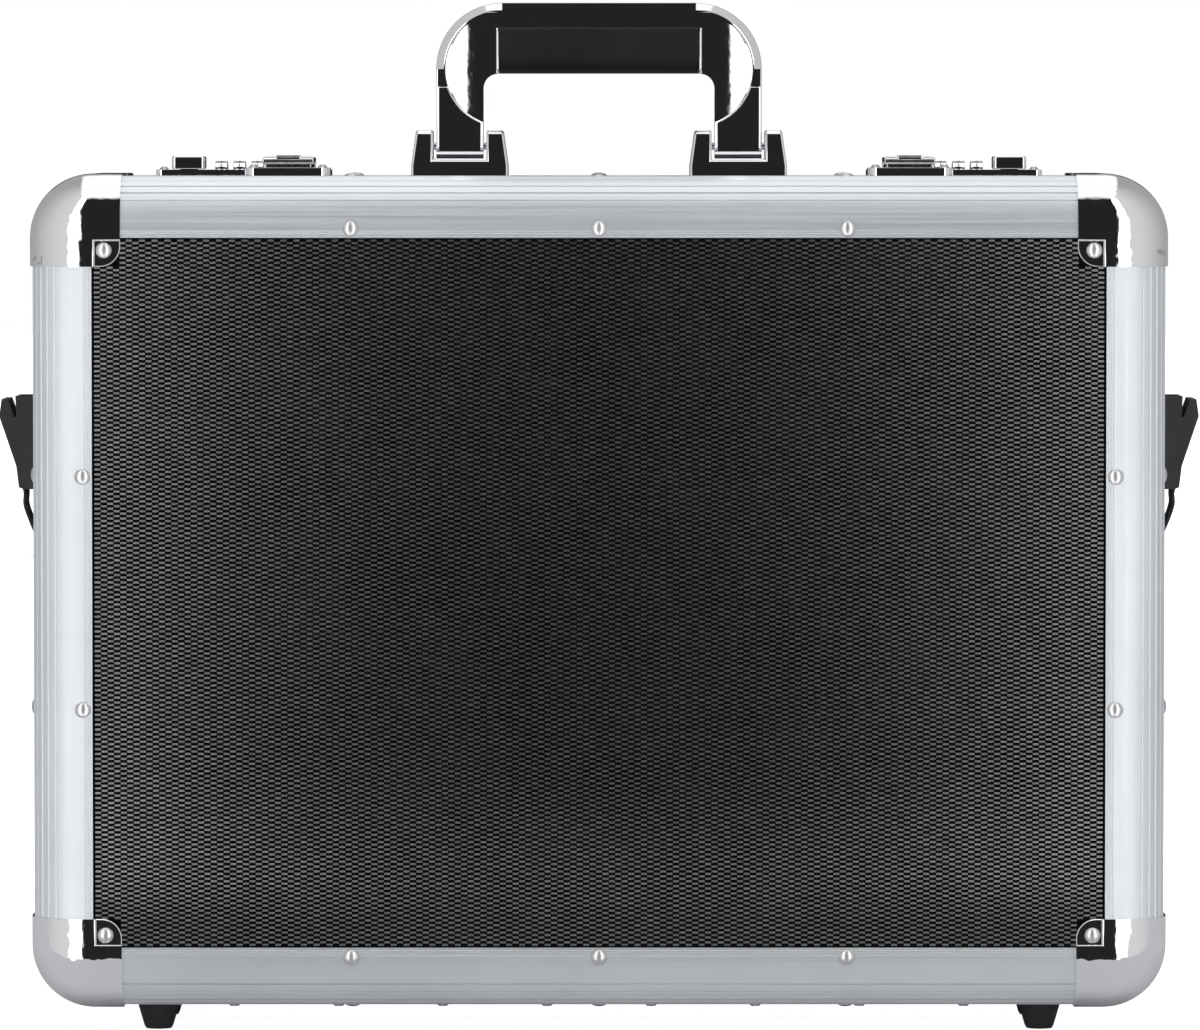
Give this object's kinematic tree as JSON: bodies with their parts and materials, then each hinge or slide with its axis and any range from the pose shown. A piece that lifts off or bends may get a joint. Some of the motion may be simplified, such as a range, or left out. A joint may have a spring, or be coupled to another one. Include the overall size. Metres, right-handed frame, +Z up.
{
  "type": "laptop hard case",
  "caption": "Black-panelled hard case framed in grooved aluminium with bright corner caps, combination locks, swinging handle, hinged lid, feet and strap buckles.",
  "frame": {"origin": "on the floor under the middle of the case's overall box, where the feet stand", "axes": "+X along the case's width, towards the right-hand strap buckle seen from the lid's side; +Y from the lid towards the base; +Z up, towards the handle"},
  "size_m": [0.4912, 0.1124, 0.4171],
  "materials": {
    "panel_skin": "black ABS skin with an embossed weave of small dashes",
    "wall_board": "black laminated board, fine grain",
    "anodised_aluminium": "satin anodised extrusion",
    "chrome": "bright chrome plate",
    "steel": "nickel plated steel",
    "rivet_steel": "bright domed rivets",
    "black_rubber": "matt black rubber, fine grain",
    "black_plastic": "satin black moulded plastic",
    "webbing": "black woven webbing",
    "foam": "charcoal foam lining"
  },
  "bodies": {
    "base": {"base_panel": "panel_skin", "base_wall": "wall_board", "base_rim": "anodised_aluminium", "base_edge_top": "anodised_aluminium", "base_edge_bottom": "anodised_aluminium", "base_edge_sides": "anodised_aluminium", "base_corner_top_left": "chrome", "base_corner_top_right": "chrome", "base_corner_bottom_left": "chrome", "base_corner_bottom_right": "chrome", "hinge_leaf_base": "steel", "hinge_pin": "steel", "rear_feet": "black_rubber", "rear_foot_screws": "steel", "handle_bracket_left": "chrome", "handle_bracket_right": "chrome", "handle_pins": "steel", "lock_body_left": "chrome", "lock_body_right": "chrome", "hasp_pins": "steel", "lock_screws": "steel", "dial_shafts": "steel", "stay_studs": "steel", "strap_tabs": "webbing", "base_rivets": "rivet_steel", "base_foam": "foam"},
    "lid": {"lid_panel": "panel_skin", "lid_wall": "wall_board", "lid_rim": "anodised_aluminium", "lid_edge_top": "anodised_aluminium", "lid_edge_bottom": "anodised_aluminium", "lid_edge_sides": "anodised_aluminium", "lid_corner_top_left": "chrome", "lid_corner_top_right": "chrome", "lid_corner_bottom_left": "chrome", "lid_corner_bottom_right": "chrome", "hinge_leaf_lid": "steel", "front_feet": "black_rubber", "front_foot_screws": "steel", "lock_keepers": "chrome", "keeper_screws": "steel", "stay_pivots": "steel", "lid_rivets": "rivet_steel", "lid_foam": "foam"},
    "handle": {"handle_arch": "chrome", "handle_grip": "black_rubber"},
    "slider_left": {"lock_slider_left": "chrome"},
    "slider_right": {"lock_slider_right": "chrome"},
    "hasp_left": {"lock_hasp_left": "chrome"},
    "hasp_right": {"lock_hasp_right": "chrome"},
    "stay_left": {"stay_arm_left": "steel"},
    "stay_right": {"stay_arm_right": "steel"},
    "buckle_left": {"strap_buckle_left": "black_plastic"},
    "buckle_right": {"strap_buckle_right": "black_plastic"},
    "dial_left_1": {"dial_left_1": "chrome"},
    "dial_left_2": {"dial_left_2": "chrome"},
    "dial_left_3": {"dial_left_3": "chrome"},
    "dial_right_1": {"dial_right_1": "chrome"},
    "dial_right_2": {"dial_right_2": "chrome"},
    "dial_right_3": {"dial_right_3": "chrome"}
  },
  "joints": [
    {"name": "lid_hinge", "type": "hinge", "parent": "base", "child": "lid", "pos_m": [0, -0.01, 0.011], "axis": [1, 0, 0], "range_deg": [0, 90]},
    {"name": "handle_swing", "type": "hinge", "parent": "base", "child": "handle", "pos_m": [0, 0.016, 0.3585], "axis": [1, 0, 0], "range_deg": [-89, 89]},
    {"name": "stay_left_turn", "type": "hinge", "parent": "lid", "child": "stay_left", "pos_m": [-0.219, -0.02, 0.0435], "axis": [1, 0, 0], "range_deg": [-45.5, 0]},
    {"name": "slider_left_push", "type": "slide", "parent": "base", "child": "slider_left", "axis": [-1, 0, 0], "range_m": [0, 0.004], "stiffness_N_per_m": 150},
    {"name": "hasp_left_lift", "type": "hinge", "parent": "base", "child": "hasp_left", "pos_m": [-0.1263, 0.009, 0.3517], "axis": [-1, 0, 0], "range_deg": [0, 85]},
    {"name": "buckle_left_swing", "type": "hinge", "parent": "base", "child": "buckle_left", "pos_m": [-0.2336, 0.016, 0.2205], "axis": [0, -1, 0], "range_deg": [0, 100]},
    {"name": "dial_left_1_turn", "type": "hinge", "parent": "base", "child": "dial_left_1", "pos_m": [-0.1546, 0.01, 0.3454], "axis": [1, 0, 0], "continuous": true},
    {"name": "dial_left_2_turn", "type": "hinge", "parent": "base", "child": "dial_left_2", "pos_m": [-0.1472, 0.01, 0.3454], "axis": [1, 0, 0], "continuous": true},
    {"name": "dial_left_3_turn", "type": "hinge", "parent": "base", "child": "dial_left_3", "pos_m": [-0.1398, 0.01, 0.3454], "axis": [1, 0, 0], "continuous": true},
    {"name": "stay_right_turn", "type": "hinge", "parent": "lid", "child": "stay_right", "pos_m": [0.219, -0.02, 0.0435], "axis": [1, 0, 0], "range_deg": [-45.5, 0]},
    {"name": "slider_right_push", "type": "slide", "parent": "base", "child": "slider_right", "axis": [1, 0, 0], "range_m": [0, 0.004], "stiffness_N_per_m": 150},
    {"name": "hasp_right_lift", "type": "hinge", "parent": "base", "child": "hasp_right", "pos_m": [0.1263, 0.009, 0.3517], "axis": [-1, 0, 0], "range_deg": [0, 85]},
    {"name": "buckle_right_swing", "type": "hinge", "parent": "base", "child": "buckle_right", "pos_m": [0.2336, 0.016, 0.2205], "axis": [0, 1, 0], "range_deg": [0, 100]},
    {"name": "dial_right_1_turn", "type": "hinge", "parent": "base", "child": "dial_right_1", "pos_m": [0.1546, 0.01, 0.3454], "axis": [1, 0, 0], "continuous": true},
    {"name": "dial_right_2_turn", "type": "hinge", "parent": "base", "child": "dial_right_2", "pos_m": [0.1472, 0.01, 0.3454], "axis": [1, 0, 0], "continuous": true},
    {"name": "dial_right_3_turn", "type": "hinge", "parent": "base", "child": "dial_right_3", "pos_m": [0.1398, 0.01, 0.3454], "axis": [1, 0, 0], "continuous": true}
  ],
  "couplings": [
    {"joint": "stay_left_turn", "follows": "lid_hinge", "ratio": -0.5},
    {"joint": "stay_right_turn", "follows": "lid_hinge", "ratio": -0.5}
  ]
}
